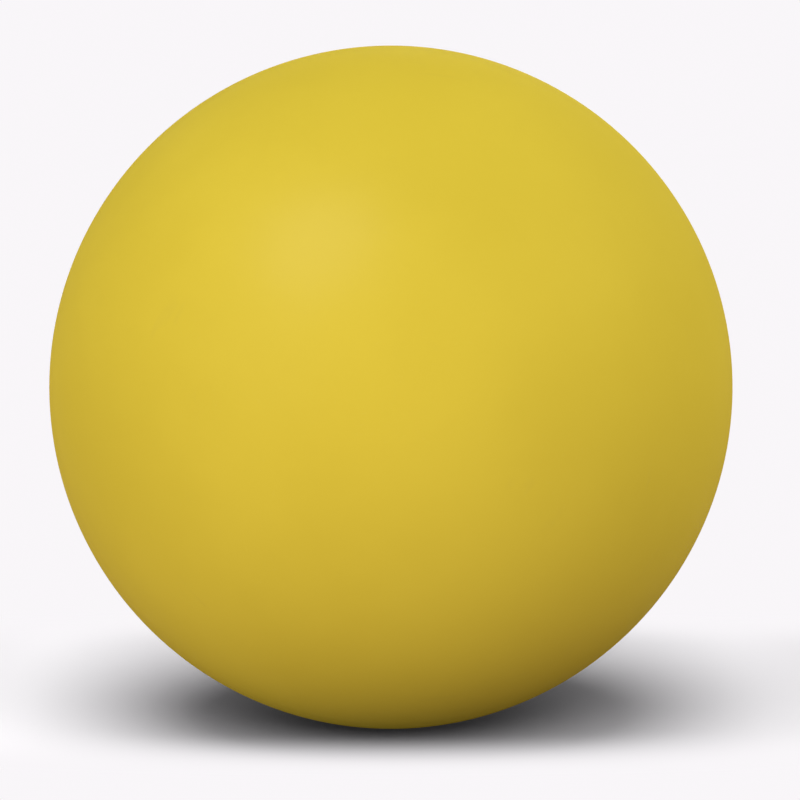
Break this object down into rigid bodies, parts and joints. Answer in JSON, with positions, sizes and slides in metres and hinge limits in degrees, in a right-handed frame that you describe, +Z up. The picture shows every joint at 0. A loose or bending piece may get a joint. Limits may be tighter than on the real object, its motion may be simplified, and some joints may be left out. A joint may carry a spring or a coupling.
{
  "type": "bouncy ball",
  "caption": "Plain inflated rubber ball with a smooth cover over a thread-wound bladder, a needle valve with a pull-out plug, and a flattened patch on which it rests.",
  "frame": {"origin": "middle of the flat patch on which the ball lies", "axes": "+Z up; the picture looks along +Y and slightly down; the valve is at the back, its axis pointing towards +Y and 12 degrees below the horizontal"},
  "size_m": [0.216, 0.2158, 0.215],
  "materials": {
    "yellow_rubber": "satin",
    "nylon_thread": "matte",
    "butyl_rubber": "matte",
    "valve_rubber": "satin"
  },
  "bodies": {
    "ball": {"cover_front_half": "yellow_rubber", "cover_back_half": "yellow_rubber", "thread_winding": "nylon_thread", "bladder_front_half": "butyl_rubber", "bladder_back_half": "butyl_rubber", "valve_boot": "valve_rubber"},
    "valve_plug": {"valve_plug": "valve_rubber"}
  },
  "joints": [
    {"name": "valve_plug_pull", "type": "slide", "parent": "ball", "child": "valve_plug", "axis": [0, 0.9781, -0.2079], "range_m": [0, 0.018]}
  ]
}
